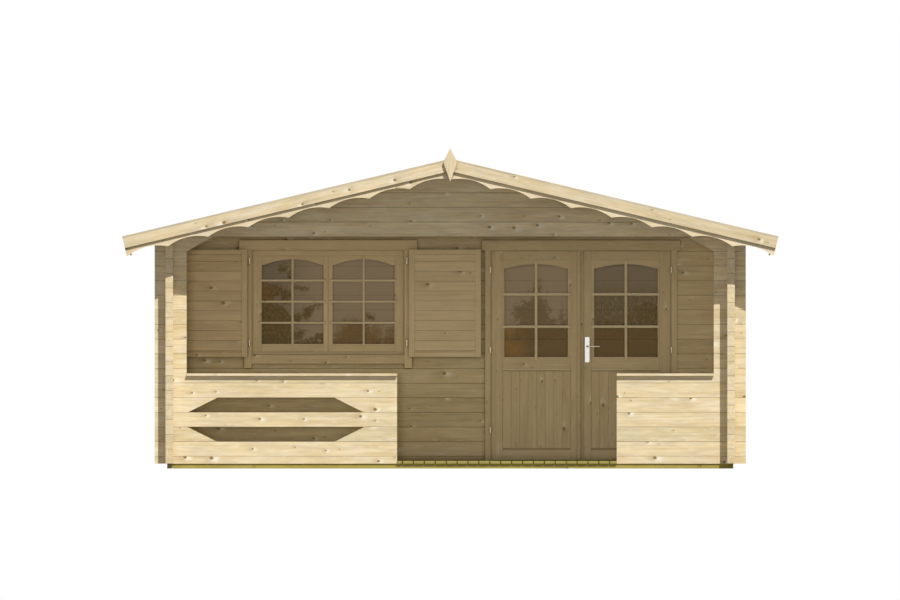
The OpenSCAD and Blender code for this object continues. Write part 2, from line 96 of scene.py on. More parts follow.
def straight_camera():
    """A level camera without perspective, square to the porch front."""
    data = bpy.data.cameras.new("camera")
    data.type = "ORTHO"
    data.ortho_scale = VIEW_WIDTH
    data.clip_end = 200
    camera = new_object("camera", data)
    camera.location = VIEW_FROM
    camera.rotation_euler = (math.radians(90), 0, 0)
    bpy.context.scene.camera = camera


straight_camera()


# ---- node helpers
def math_method(operation, turned=False):
    """A method that makes a Math node from two values; turned, the second value goes first."""
    def method(self, other):
        return calc(operation, *((other, self) if turned else (self, other)))
    return method


class Reading:
    """A value, a place or a colour that a node gives all over a surface. Sums with it make Math
    nodes in the same tree."""

    def __init__(self, tree, socket):
        self.tree, self.socket = tree, socket

    def into(self, socket):
        """Feed this reading to a socket."""
        self.tree.links.new(self.socket, socket)

    def __abs__(self):
        return calc("ABSOLUTE", self)

    __add__ = __radd__ = math_method("ADD")
    __mul__ = __rmul__ = math_method("MULTIPLY")
    __sub__, __rsub__ = math_method("SUBTRACT"), math_method("SUBTRACT", turned=True)
    __truediv__, __pow__ = math_method("DIVIDE"), math_method("POWER")


def opaque(colour):
    return (*colour, 1)


def outputs(tree, kind, inputs=None, **settings):
    """The readings that a new node gives, by name; its sockets take readings or plain values."""
    made = tree.nodes.new(kind)
    for key, value in settings.items():
        setattr(made, key, value)
    for key, value in (inputs or {}).items():
        if isinstance(value, Reading):
            value.into(made.inputs[key])
        else:
            made.inputs[key].default_value = value
    # The outputs of a Mix node all have the same name, so they go by their identifiers
    return {socket.identifier if kind == "ShaderNodeMix" else socket.name: Reading(tree, socket)
            for socket in made.outputs}


def add(tree, kind, inputs=None, output=None, **settings):
    """One reading of a new node: its first, where no other is named."""
    readings = outputs(tree, kind, inputs, **settings)
    return readings[output] if output else next(iter(readings.values()))


def tree_of(*values):
    """The node tree that the readings among some values belong to."""
    return next(value.tree for value in values if isinstance(value, Reading))


def calc(operation, *values, clamp=False):
    """The result of a Math node."""
    return add(tree_of(*values), "ShaderNodeMath", dict(enumerate(values)), operation=operation,
               use_clamp=clamp)


def blend(factor, a, b, mode="MIX"):
    """The colour that a Mix node gives; a and b are readings or plain colours."""
    a, b = (opaque(colour) if isinstance(colour, tuple) else colour for colour in (a, b))
    return add(tree_of(factor, a, b), "ShaderNodeMix", {0: factor, 6: a, 7: b}, "Result_Color",
               data_type="RGBA", blend_type=mode)


def ramp(value, low, high, to_low=0.0, to_high=1.0):
    """A value mapped smoothly from one range to another."""
    return add(value.tree, "ShaderNodeMapRange", {0: value, 1: low, 2: high, 3: to_low, 4: to_high},
               interpolation_type="SMOOTHSTEP")


def along(place, direction):
    """How far a place lies in a direction."""
    return add(place.tree, "ShaderNodeVectorMath", {0: place, 1: tuple(direction)}, "Value",
               operation="DOT_PRODUCT")


def combine(x, y, z):
    """A place, or a grey, from three values."""
    return add(tree_of(x, y, z), "ShaderNodeCombineXYZ", {0: x, 1: y, 2: z})


def split(place):
    """The three values of a place or a colour."""
    return list(outputs(place.tree, "ShaderNodeSeparateXYZ", {0: place}).values())


def noise(place, scale=1.0, detail=2.0, roughness=0.5):
    return add(place.tree, "ShaderNodeTexNoise", {"Vector": place, "Scale": scale, "Detail": detail,
                                                  "Roughness": roughness})


def distance(a, b):
    """The length of a line from how far it goes two ways."""
    return calc("SQRT", a * a + b * b)


def spot(a, b):
    """1 in the middle of a spot, less and less round it."""
    return calc("EXPONENT", (a * a + b * b) * -1.0)


def openness(tree, reach):
    """1 in the open, less the more a place is shut in within a reach."""
    return add(tree, "ShaderNodeAmbientOcclusion", {"Distance": reach}, "AO", samples=6)


def surface(tree, what="Object"):
    """The place, or the normal, of a point on the surface in the frame's own directions."""
    return add(tree, "ShaderNodeTexCoord", output=what)


def group(name, takes, gives):
    """An empty shader node group: its tree, the readings that it takes, and the sockets that it
    gives. Takes and gives hold the kind of each socket by its name."""
    tree = bpy.data.node_groups.new(name, "ShaderNodeTree")
    for way, sockets in (("INPUT", takes), ("OUTPUT", gives)):
        for label, kind in sockets.items():
            tree.interface.new_socket(label, in_out=way, socket_type="NodeSocket" + kind)
    given = tree.nodes.new("NodeGroupInput").outputs
    return (tree, {label: Reading(tree, given[label]) for label in takes},
            tree.nodes.new("NodeGroupOutput").inputs)


# ---- shared effects
# Knots to the metre each way, as the cells of a pattern, and their smallest radius and its spread
KNOT_CELLS = 4.4
KNOT_SMALL, KNOT_MORE = 0.0038, 0.0135
# Width of a year ring
RING = 0.0048
# Colour of the painted shade and dust along joints
JOINT_SHADE_AND_DUST = (0.110, 0.075, 0.030)


def pine_effect():
    """Sawn pine: year rings round a pith, streaks, fibres and knots, different on every board."""
    tree, given, made = group(
        "pine", {"Grain": "Vector", "Piece": "Float", "End": "Float", "Pale": "Color",
                 "Dark": "Color", "Knot": "Color", "Pearl": "Color", "Knots": "Float",
                 "Figure": "Float"}, {"Color": "Color", "Height": "Float"})
    run, across, depth = split(given["Grain"])
    luck = split(add(tree, "ShaderNodeTexWhiteNoise", {"W": given["Piece"]}, "Color",
                     noise_dimensions="1D"))
    far = luck[0] * 60.0
    run = run + far

    # Knots: one in some of the cells of a plane pattern, longer along the grain
    here = combine(run * KNOT_CELLS, across * KNOT_CELLS + luck[1] * 40.0, 0.0)
    cells = outputs(tree, "ShaderNodeTexVoronoi", {"Vector": here, "Scale": 1.0},
                    voronoi_dimensions="2D")
    off = add(tree, "ShaderNodeVectorMath", {0: here, 1: cells["Position"]}, operation="SUBTRACT")
    dx, dy = (part / KNOT_CELLS for part in split(off)[:2])
    chance = split(cells["Color"])
    kept = calc("LESS_THAN", chance[1], given["Knots"])
    size = chance[0] ** 1.8 * KNOT_MORE + KNOT_SMALL
    away = distance(dx / 1.3, dy) / size
    knot = kept * ramp(away, 1.15, 0.8)
    heart = ramp(away, 0.3, 0.9)
    flare = kept * spot(dx / (size * 5.0), dy / (size * 2.2))
    gleam = spot(dx / (size * 2.5) - 0.9, dy / (size * 1.5) + 0.4)
    gleam = gleam * (kept * ramp(size, 0.004, 0.009))

    # The grain wanders along the board and swells round each knot
    slow = noise(combine(run * 0.9, across * 5.0, depth * 5.0), 1.6, 1.0)
    bent = across + (slow - 0.5) * 0.035 + dy * flare * -0.8

    # Year rings: distance to a pith that lies beside the board
    pith_across = (luck[2] - 0.5) * 0.11
    pith_depth = luck[1] * 0.05 + 0.035
    radius = distance(bent - pith_across, depth - pith_depth)
    years = radius / RING
    waver = noise(combine(years, run * 0.7, far), 0.35, 1.0)
    ring = (calc("SINE", (years + waver) * math.tau) * 0.5 + 0.5) ** 2.2
    band = noise(combine(radius * 62.0, run * 1.1, far), 1.0, 3.0, 0.6)
    fibre = noise(combine(run * 9.0, bent * 260.0, depth * 260.0))

    def patches(long, high, lot, detail=2.0):
        return noise(combine(run * long, across * high, far + lot), 1.0, detail)

    cloud = patches(2.4, 9.0, 0.0)
    flame = patches(6.5, 42.0, 7.0)
    warmth = patches(3.3, 16.0, 13.0)
    pearl = patches(10.0, 30.0, 23.0, 1.0)

    # Tone: rings, bands and fibres, then the board's own lightness and its clouds
    bold = given["Figure"] * 0.7 + 0.45
    dark = ring * 0.30 + (ramp(band, 0.38, 0.70, 0.0, 0.42) - 0.21) * bold + 0.21
    dark = dark + ramp(fibre, 0.45, 0.8, 0.0, 0.12)
    dark = calc("MULTIPLY_ADD", given["End"], 0.06, dark, clamp=True)
    colour = blend(dark, given["Pale"], given["Dark"])
    lift = (luck[0] - 0.5) * (bold * 0.12) + 1.0
    lift = lift * ramp(cloud, 0.3, 0.7, 0.95, 1.05)
    lift = lift * (ramp(flame, 0.3, 0.7, -0.06, 0.06) * given["Figure"] + 1.0)
    colour = blend(1.0, colour, combine(lift, lift, lift ** 1.3), "MULTIPLY")
    tint = blend(ramp(warmth, 0.34, 0.66), (1.02, 0.995, 0.94), (0.99, 1.00, 1.04))
    colour = blend(given["Figure"], colour, tint, "MULTIPLY")

    # The gleam of turned grain, the blush beside a knot, and the knot itself
    colour = blend(ramp(pearl, 0.60, 0.80, 0.0, 0.30), colour, given["Pearl"])
    colour = blend(flare * ramp(dx, 0.012, -0.012, 0.0, 0.34), colour, given["Knot"])
    colour = blend(gleam, colour, given["Pearl"])
    core = blend(heart, given["Knot"], blend(0.45, given["Knot"], given["Dark"]))
    blend(knot, colour, core).into(made["Color"])
    (fibre * 0.5 + ring * 0.5 - knot).into(made["Height"])
    return tree


def joint_shade():
    """Painted shade, with some dust, where two boards or logs meet."""
    tree, given, made = group(
        "joint_shade", {"Color": "Color", "Across": "Float", "Half": "Float", "Width": "Float",
                        "Strength": "Float"}, {"Color": "Color"})
    near = (given["Half"] - abs(given["Across"])) / given["Width"]
    mask = ramp(near, 1.0, 0.2) * given["Strength"]
    blend(mask, given["Color"], JOINT_SHADE_AND_DUST).into(made["Color"])
    return tree


PINE = pine_effect()
JOINT = joint_shade()

# Colours of new, untreated wood: early wood, late wood, knots, and the pale gleam beside them
BROWN = (0.3, 0.165, 0.055)
TAN = (0.4, 0.245, 0.1)
FAWN = (0.44, 0.29, 0.13)
UMBER = (0.11, 0.075, 0.025)
LOG_WOOD = ((0.85, 0.715, 0.455), (0.66, 0.495, 0.265), BROWN, (0.99, 0.91, 0.72))
GABLE_WOOD = ((0.85, 0.715, 0.455), (0.66, 0.495, 0.265), FAWN, (0.95, 0.85, 0.65))
# The logs of the room front are darker than the others: painted shade for the porch roof's shade
ROOM_WOOD = ((0.785, 0.645, 0.39), (0.608, 0.446, 0.223), FAWN, (0.95, 0.85, 0.64))
# The logs right of the door are lighter than the rest of the room front: painted light where the
# porch wall shades them
DOOR_SIDE_WOOD = ((0.84, 0.69, 0.417), (0.662, 0.487, 0.245), FAWN, (0.96, 0.86, 0.65))
CORNER_WOOD = ((0.81, 0.682, 0.438), (0.63, 0.48, 0.252), BROWN, (0.94, 0.84, 0.64))
BOARD_WOOD = ((0.84, 0.71, 0.475), (0.69, 0.53, 0.3), BROWN, (0.94, 0.84, 0.64))
BARGE_WOOD = ((0.8, 0.676, 0.448), (0.655, 0.503, 0.284), BROWN, (0.91, 0.812, 0.615))
# The right shutter's wood is lighter than the joinery of the left one: painted light
SHUTTER_WOOD = ((0.93, 0.755, 0.46), (0.74, 0.545, 0.285), TAN, (0.97, 0.84, 0.58))
JOINERY_WOOD = ((0.88, 0.715, 0.43), (0.7, 0.51, 0.265), TAN, (0.95, 0.82, 0.56))
DOOR_WOOD = ((0.8, 0.65, 0.388), (0.635, 0.463, 0.237), TAN, (0.92, 0.79, 0.54))
# The jambs are lighter than the door: painted light in the slots beside the leaves
JAMB_WOOD = ((0.86, 0.695, 0.412), (0.68, 0.495, 0.252), TAN, (0.95, 0.82, 0.56))
# Paler wood for glazing bars and the panel moulding: painted light, as if they catch the light
LATTICE_WOOD = ((0.93, 0.79, 0.51), (0.8, 0.62, 0.36), BROWN, (0.96, 0.85, 0.6))
BATTEN_WOOD = ((0.69, 0.59, 0.42), (0.56, 0.44, 0.265), BROWN, (0.76, 0.67, 0.5))
# The roof boards are darker, partly as rough-sawn wood and partly a painted shade against the strong
# sun on the roof
ROOF_WOOD = ((0.61, 0.49, 0.3), (0.48, 0.355, 0.195), BROWN, (0.68, 0.57, 0.38))
# Impregnated wood, by the same four colours
BEAM_WOOD = ((0.68, 0.585, 0.165), (0.5, 0.41, 0.1), UMBER, (0.72, 0.64, 0.24))
GREEN_WOOD = ((0.41, 0.36, 0.11), (0.285, 0.235, 0.062), UMBER, (0.45, 0.41, 0.16))
GREEN_END = ((0.465, 0.394, 0.124), (0.342, 0.276, 0.074), UMBER, (0.53, 0.46, 0.18))
# A very dark wood for the strips down in the terrace joints: painted shade
GAP_SHADE_WOOD = ((0.13, 0.1, 0.02), (0.09, 0.065, 0.012), UMBER, (0.13, 0.1, 0.02))


# ---- materials
def new_material(name, roughness=0.6, specular=0.15):
    """A material with one Principled shader, its node tree and the shader's own sockets."""
    made = bpy.data.materials.new(name)
    made.use_nodes = True
    shader = made.node_tree.nodes["Principled BSDF"].inputs
    shader["Roughness"].default_value = roughness
    shader["Specular IOR Level"].default_value = specular
    return made, made.node_tree, shader


def mix_shaders(factor, a, b):
    return add(a.tree, "ShaderNodeMixShader", {0: factor, 1: a, 2: b})


# How far the painted shade of corners and laps reaches, the openness at which it is full and gone,
# and its tone
CORNER = (0.12, 0.26, 0.94)
CONTACT = (0.04, 0.50, 0.95)
CORNER_SHADE_TONE = (0.36, 0.29, 0.18)
# Tone of the painted shade on wood turned up to the sky
TOP_SHADE_TONE = (0.70, 0.69, 0.70)


def finish_wood(tree, shader, wood, pine, joint, shut_in=1.0, contact=0.0):
    """Pine on a shader. Pine and joint hold what the two shared effects take. Wood turned to the
    sky is painted darker and greyer, a painted shade against the strong sun on tops, and wood
    shut in by a corner gets painted shade. Contact is the strength of the narrow painted shade
    beside boards that lie on it."""
    colours = dict(zip(("Pale", "Dark", "Knot", "Pearl"), map(opaque, wood)))
    sawn = outputs(tree, "ShaderNodeGroup", {**pine, **colours}, node_tree=PINE)
    colour = sawn["Color"]
    if joint["Strength"]:
        colour = add(tree, "ShaderNodeGroup", {"Color": colour, **joint}, node_tree=JOINT)
    # Painted shade: faces turned up are painted darker and greyer, against the strong sun on tops
    up = ramp(along(surface(tree, "Normal"), Z), 0.45, 0.95)
    colour = blend(up, colour, TOP_SHADE_TONE, "MULTIPLY")
    # Painted shade where wood is shut in by corners and beside laps
    for (reach, closed, opened), strength in ((CORNER, shut_in), (CONTACT, contact)):
        if strength:
            shade = ramp(openness(tree, reach), closed, opened, strength, 0.0)
            colour = blend(shade, colour, CORNER_SHADE_TONE, "MULTIPLY")
    colour.into(shader["Base Color"])
    add(tree, "ShaderNodeBump", {"Strength": 0.25, "Distance": 0.0012,
                                 "Height": sawn["Height"]}).into(shader["Normal"])


def board_wood(name, wood, knots=0.5, end=0.0, rim=0.0, shut_in=1.0):
    """Wood for boards made here: each carries its own grain, number and half width."""
    made, tree, shader = new_material(name)
    grain, piece, half = (
        add(tree, "ShaderNodeAttribute", output=output, attribute_name=attribute)
        for attribute, output in (("grain", "Vector"), ("piece", "Fac"), ("half", "Fac")))
    pine = {"Grain": grain, "Piece": piece, "End": end, "Knots": 0.0 if end else knots,
            "Figure": 0.3}
    joint = {"Across": split(grain)[1], "Half": half, "Width": 0.003, "Strength": rim}
    finish_wood(tree, shader, wood, pine, joint, shut_in)
    return made


def frame_wood(name, grain, seed, wood=BOARD_WOOD, knots=0.5, start=-10.0, course=20.0, middle=0.0,
               folded=False, shade=0.0, figure=1.0, **more):
    """Wood for nodes of the frame: grain gives the directions along, across and through the wood,
    and each course, counted across from start, is a board or log of its own. Folded wood runs
    down both slopes of the roof."""
    made, tree, shader = new_material(name)
    place, normal, number = surface(tree), surface(tree, "Normal"), seed
    if folded:
        x, y, z = split(place)
        number = calc("GREATER_THAN", x, 0.0) * 17.0 + seed
        place = combine(abs(x), y, z)
        nx, ny, nz = split(normal)
        normal = combine(nx * calc("SIGN", x), ny, nz)
    run, across, depth = (along(place, direction) for direction in grain)
    row = calc("FLOOR", (across - start) / course)
    across = across - (row * course + (start + course / 2))
    end = calc("GREATER_THAN", abs(along(normal, grain[0])), 0.7)
    pine = {"Grain": combine(run, across, depth - middle), "Piece": row + number, "End": end,
            "Knots": (1.0 - end) * knots, "Figure": figure}
    joint = {"Across": across, "Half": course / 2, "Width": 0.0035, "Strength": shade}
    finish_wood(tree, shader, wood, pine, joint, **more)
    return made


# The painted reflection in the panes: round shapes of trees and bushes as (x, z, half width, half
# height)
OLIVE_CROWNS = ((-1.84, 1.2, 0.4, 0.42), (-1.6, 1.24, 0.14, 0.32), (-1.52, 1.6, 0.06, 0.1),
                (-1.56, 1.38, 0.1, 0.12), (-1.54, 1.84, 0.05, 0.06), (-1.49, 1.78, 0.04, 0.05),
                (-1.39, 1.66, 0.08, 0.03), (-1.32, 1.43, 0.06, 0.08), (-1.25, 1.5, 0.07, 0.03),
                (-1.41, 1.39, 0.06, 0.06), (-1.39, 1.24, 0.07, 0.06), (-1.26, 1.15, 0.24, 0.06),
                (-1.2, 1.21, 0.06, 0.05), (-0.74, 1.4, 0.05, 0.04), (0.79, 1.3, 0.22, 0.16),
                (-1.64, 1.64, 0.13, 0.08), (0.68, 1.43, 0.1, 0.12), (0.8, 1.44, 0.13, 0.17),
                (0.8, 1.6, 0.06, 0.14), (0.64, 1.4, 0.08, 0.05), (0.94, 1.33, 0.09, 0.07),
                (1.03, 1.32, 0.05, 0.11), (1.46, 1.26, 0.27, 0.11), (1.84, 1.38, 0.16, 0.16),
                (1.72, 1.46, 0.03, 0.12))
RUST_CROWNS = ((-1.8, 1.6, 0.24, 0.17), (-0.88, 1.13, 0.24, 0.29), (-0.7, 1.16, 0.12, 0.22),
               (-0.55, 1.14, 0.13, 0.2), (1.66, 1.41, 0.06, 0.06))
# Colours of that painted garden reflection: light and dark for the sky, the leaves, the bushes and
# the ground
CLEAR_SKY, DULL_SKY, TWIG = (0.174, 0.132, 0.079), (0.108, 0.081, 0.048), (0.080, 0.054, 0.018)
OLIVE, DARK_OLIVE = (0.092, 0.060, 0.014), (0.058, 0.037, 0.007)
RUST, DARK_RUST = (0.122, 0.066, 0.013), (0.080, 0.047, 0.011)
SOIL, RED_SOIL, DARK_SOIL = (0.092, 0.058, 0.017), (0.158, 0.080, 0.016), (0.072, 0.046, 0.012)


def crowns(x, z, shapes):
    """How deep, in metres, a point lies inside the nearest of some round shapes."""
    deepest = -9.0
    for x0, z0, wide, high in shapes:
        away = distance((x - x0) / wide, (z - z0) / high)
        deepest = calc("MAXIMUM", deepest, (1.0 - away) * min(wide, high))
    return deepest


def glass_pane():
    """Clear panes with a painted reflection of a garden in autumn, which also glows a little: a dull
    sky, trees, russet bushes and brown ground. Faint painted lines stand for the logs of the back
    wall seen through."""
    made, tree, shader = new_material("pane", roughness=0.02, specular=0.05)
    x, y, z = split(surface(tree))
    flat = combine(x, 0.0, z)
    leaves = (noise(flat, 70.0, 3.0, 0.6) - 0.5) * 0.35 + (noise(flat, 16.0, 6.0, 0.8) - 0.5)
    fine = noise(flat, 34.0, 4.0, 0.7)
    patch = noise(flat, 6.0, 2.0)
    twigs = noise(combine(x * 75.0, 0.0, z * 22.0), 1.0, 3.0, 0.6)

    # 0 on the panes of the window, 1 on those of the doors
    door = ramp(x, 0.0, 0.4)
    dusk = ramp(x, -1.15, -1.75) + ramp(x, 1.0, 1.4, 0.0, 0.75)
    thicket = ramp(x, 1.20, 1.30) * ramp(z, 1.76, 1.50)
    seen = blend(dusk, CLEAR_SKY, DULL_SKY)
    seen = blend(ramp(twigs, 0.34, 0.60) * thicket * 0.9, seen, TWIG)
    mask = ramp(leaves * (door * 0.14 + 0.28) + crowns(x, z, OLIVE_CROWNS), -0.005, 0.035)
    olive = blend(ramp(fine, 0.38, 0.62), OLIVE, DARK_OLIVE)
    seen = blend(mask * (0.9 - door * 0.26), seen, olive)
    mask = ramp(leaves * 0.28 + crowns(x, z, RUST_CROWNS), -0.010, 0.090)
    seen = blend(mask * 0.85, seen, blend(ramp(fine, 0.35, 0.65), RUST, DARK_RUST))
    soil = blend(ramp(x, 0.75, 0.59) * ramp(patch, 0.70, 0.40), SOIL, RED_SOIL)
    soil = blend(ramp(fine, 0.40, 0.70, 0.0, 0.5), soil, DARK_SOIL)
    mask = ramp(leaves * 0.12 + (door * 0.36 + 0.95) - z, -0.02, 0.05)
    seen = blend(mask * 0.9, seen, soil)
    # Painted view through the glass: faint darker lines where the logs of the back wall meet
    row = calc("PINGPONG", z - cross_joint, LOG_HIGH / 2)
    faint = blend(ramp(row, 0.006, 0.002), (1, 1, 1), (0.80, 0.80, 0.80))
    seen = blend(1.0, seen, faint, "MULTIPLY")
    # Painted shade round the rim of each pane, from how shut in it is
    seen = blend(ramp(openness(tree, 0.03), 0.95, 0.45), seen, (0.6, 0.6, 0.6), "MULTIPLY")
    # The painted reflection is brightened in the colour and also glows, though the pane is no lamp
    blend(1.0, seen, (2.2, 2.2, 2.2), "MULTIPLY").into(shader["Base Color"])
    seen.into(shader["Emission Color"])
    shader["Emission Strength"].default_value = 0.4
    shader["IOR"].default_value = 1.3
    shader["Transmission Weight"].default_value = 0.5

    # Sunlight comes through, a little browner
    lit = Reading(tree, tree.nodes["Principled BSDF"].outputs[0])
    clear = add(tree, "ShaderNodeBsdfTransparent", {0: (0.75, 0.72, 0.64, 1)})
    shadow = add(tree, "ShaderNodeLightPath", output="Is Shadow Ray")
    mix_shaders(shadow, lit, clear).into(tree.nodes["Material Output"].inputs[0])
    return made


def metal(name, colour, roughness, wear, pins=(), bright=0.0, edge=(1, 1, 1)):
    """Plated metal with fine brushing and duller patches. Where pins are given by their x, it stays
    bright as far from each as told, and beyond that it is painted darker by edge: painted shade."""
    made, tree, shader = new_material(name, specular=0.5)
    place = surface(tree)
    x, y, z = split(place)
    brushed = noise(combine(x * 900.0, y * 900.0, z * 60.0))
    worn = ramp(noise(place, 70.0, 3.0), 0.45, 0.75, 0.0, wear)
    worn = blend(worn, colour, tuple(part * 0.72 for part in colour))
    if pins:
        nearest = 9.0
        for pin in pins:
            nearest = calc("MINIMUM", nearest, abs(x - pin))
        # Painted shade beyond the reach from the pins
        worn = blend(ramp(nearest, bright, bright + 0.003), worn, edge, "MULTIPLY")
    worn.into(shader["Base Color"])
    ramp(brushed, 0.3, 0.7, roughness * 0.8, roughness * 1.2).into(shader["Roughness"])
    shader["Metallic"].default_value = 1.0
    return made


# ---- meshes of boards
class Boards:
    """Boards, bars and strips that are joined into one mesh, each with its own grain and number."""

    def __init__(self, seed):
        self.verts, self.faces, self.slots = [], [], []
        self.grain, self.piece, self.half = [], [], []
        self.number = seed

    def solid(self, rings, grain, closed=False):
        """A solid through rings of points. Each ring has the same number of points, and a closed
        solid joins its last ring to its first. Faces across the grain take the second material."""
        self.number += 1
        first, count = len(self.verts), len(rings[0])
        points = [Vector(point) for ring in rings for point in ring]
        middle = sum(points, Vector()) / len(points)
        local = [point - middle for point in points]
        faces = []
        for i in range(len(rings) if closed else len(rings) - 1):
            a, b = i * count, (i + 1) % len(rings) * count
            faces += [(a + j, a + (j + 1) % count, b + (j + 1) % count, b + j) for j in range(count)]
        if not closed:
            faces += [tuple(reversed(range(count))),
                      tuple(range(len(points) - count, len(points)))]
        areas = [sum((local[a].cross(local[b]) for a, b in zip(face, face[1:] + face[:1])), Vector())
                 for face in faces]
        outward = sum(local[face[0]].dot(area) for face, area in zip(faces, areas)) > 0
        for face, area in zip(faces, areas):
            self.faces.append([first + at for at in (face if outward else reversed(face))])
            self.slots.append(int(abs(area.normalized().dot(grain[0])) > 0.8))
        self.verts += points
        self.grain += [place.dot(direction) for place in local for direction in grain]
        self.piece += [self.number] * len(points)
        self.half += [max(abs(place.dot(grain[1])) for place in local)] * len(points)

    def bar(self, low, high, grain, edge=0.0):
        """A straight board between two corners, with its long edges eased by a chamfer."""
        low, high = Vector(low), Vector(high)
        run, across, through = grain
        span = high - low
        width, thick = abs(span.dot(across)), abs(span.dot(through))
        outline = [(0, 0), (width, 0), (width, thick), (0, thick)]
        if edge:
            outline = [(edge, 0), (width - edge, 0), (width, edge), (width, thick - edge),
                       (width - edge, thick), (edge, thick), (0, thick - edge), (0, edge)]
        self.solid([[end + across * u + through * v for u, v in outline]
                    for end in (low, low + run * span.dot(run))], grain)

    def stiles(self, edges, depth, height, eased):
        """Two uprights. Edges holds the x of both sides of the left one, then of the right one."""
        for x0, x1 in (edges[:2], edges[2:]):
            self.bar((x0, depth[0], height[0]), (x1, depth[1], height[1]), UPRIGHT, eased)

    def plate(self, outline, y0, y1, grain):
        """An outline in X and Z, as deep as from y0 to y1."""
        self.solid([[(x, y, z) for x, z in outline] for y in (y0, y1)], grain)

    def make(self, name, materials, replaced=(), body="house"):
        """The object that these boards make, on its body, in place of nodes of the frame."""
        mesh = bpy.data.meshes.new(name)
        mesh.from_pydata(self.verts, [], self.faces)
        mesh.polygons.foreach_set("material_index", self.slots)
        for label, kind, field, values in (("grain", "FLOAT_VECTOR", "vector", self.grain),
                                           ("piece", "FLOAT", "value", self.piece),
                                           ("half", "FLOAT", "value", self.half)):
            mesh.attributes.new(label, kind, "POINT").data.foreach_set(field, values)
        for material in materials:
            mesh.materials.append(material)
        made = new_object(name, mesh)
        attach(made, body)
        if replaced:
            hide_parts(*replaced)


SHOULDER = 0.022
ARCH_STEPS = 20


def arch_points(x0, x1, z, rise):
    """Points of a low arch from x0 to x1."""
    half = (x1 - x0) / 2
    radius = (half * half + rise * rise) / (2 * rise)
    turn = math.asin(half / radius)
    middle = (x0 + x1) / 2
    return [(middle + radius * math.sin(t), z + rise - radius + radius * math.cos(t))
            for t in (turn * (2 * i / ARCH_STEPS - 1) for i in range(ARCH_STEPS + 1))]


def pane_outline(x0, x1, z0, z1, rise):
    """The outline of a pane, anticlockwise: square below, two shoulders and an arch above."""
    arch = arch_points(x0 + SHOULDER, x1 - SHOULDER, z1 - rise, rise)
    return [(x0, z0), (x1, z0), (x1, z1 - rise), *reversed(arch), (x0, z1 - rise)]


def inset(outline, by):
    """A closed outline, anticlockwise, moved inwards."""
    moved = []
    for i, here in enumerate(outline):
        before, after = outline[i - 1], outline[(i + 1) % len(outline)]
        a = Vector((here[0] - before[0], here[1] - before[1])).normalized()
        b = Vector((after[0] - here[0], after[1] - here[1])).normalized()
        inward = Vector((-a.y - b.y, a.x + b.x)) / (1 + a.dot(b))
        moved.append((here[0] + inward.x * by, here[1] + inward.y * by))
    return moved


# How a bead steps out from the frame, how much of its width stays flat, and its width
BEAD_STEP, BEAD_FLAT, BEAD = 0.005, 0.4, 0.002


def beads(boards, pane, rise, faces):
    """A moulded bead on each side of a pane, from just inside the face of the frame to the glass;
    faces holds the y of both for each side."""
    outline = pane_outline(*pane, rise)
    for face, glass in faces:
        front = face + math.copysign(BEAD_STEP, glass - face)
        rings = [(0, glass), (0, front), (BEAD * BEAD_FLAT, front), (BEAD, (front + glass) / 2),
                 (BEAD, glass)]
        boards.solid([[(x, y, z) for x, z in inset(outline, in_by)] for in_by, y in rings],
                     UPRIGHT, closed=True)


def lattice(boards, uprights, levels, face, out, wide, thick, edge):
    """Glazing bars planted on the face of a sash; out is -1 for the porch side. Uprights are
    (x, z0, z1) and levels are (z, x0, x1); the uprights are let into the levels a little."""
    let_in, half = 0.0015, wide / 2
    y0, y1 = sorted((face, face + out * (thick - let_in)))
    for x, z0, z1 in uprights:
        boards.bar((x - half, y0, z0), (x + half, y1, z1), UPRIGHT, edge)
    y0, y1 = sorted((face, face + out * thick))
    for z, x0, x1 in levels:
        boards.bar((x0, y0, z - half), (x1, y1, z + half), LEVEL, edge)


# ---- the finishes
def logs(name, grain, seed, start, middle, wood=LOG_WOOD, shut_in=1.0, shade=0.45, **more):
    """Logs that lie on each other, counted from start."""
    return frame_wood(name, grain, seed, wood, knots=0.75, start=start, course=LOG_HIGH,
                      middle=middle, shade=shade, shut_in=shut_in, **more)


PORCH_DEPTH, ROOM_DEPTH, BACK_DEPTH, SIDE_DEPTH = -2.2, -0.65, 2.33, 2.59

lever_metal = metal("lever_metal", (0.96, 0.91, 0.78), 0.3, 0.1)
dark_metal = metal("dark_metal", (0.20, 0.19, 0.15), 0.5, 0.3)


def both(name):
    """The names of a left and a right piece."""
    return "left_" + name, "right_" + name


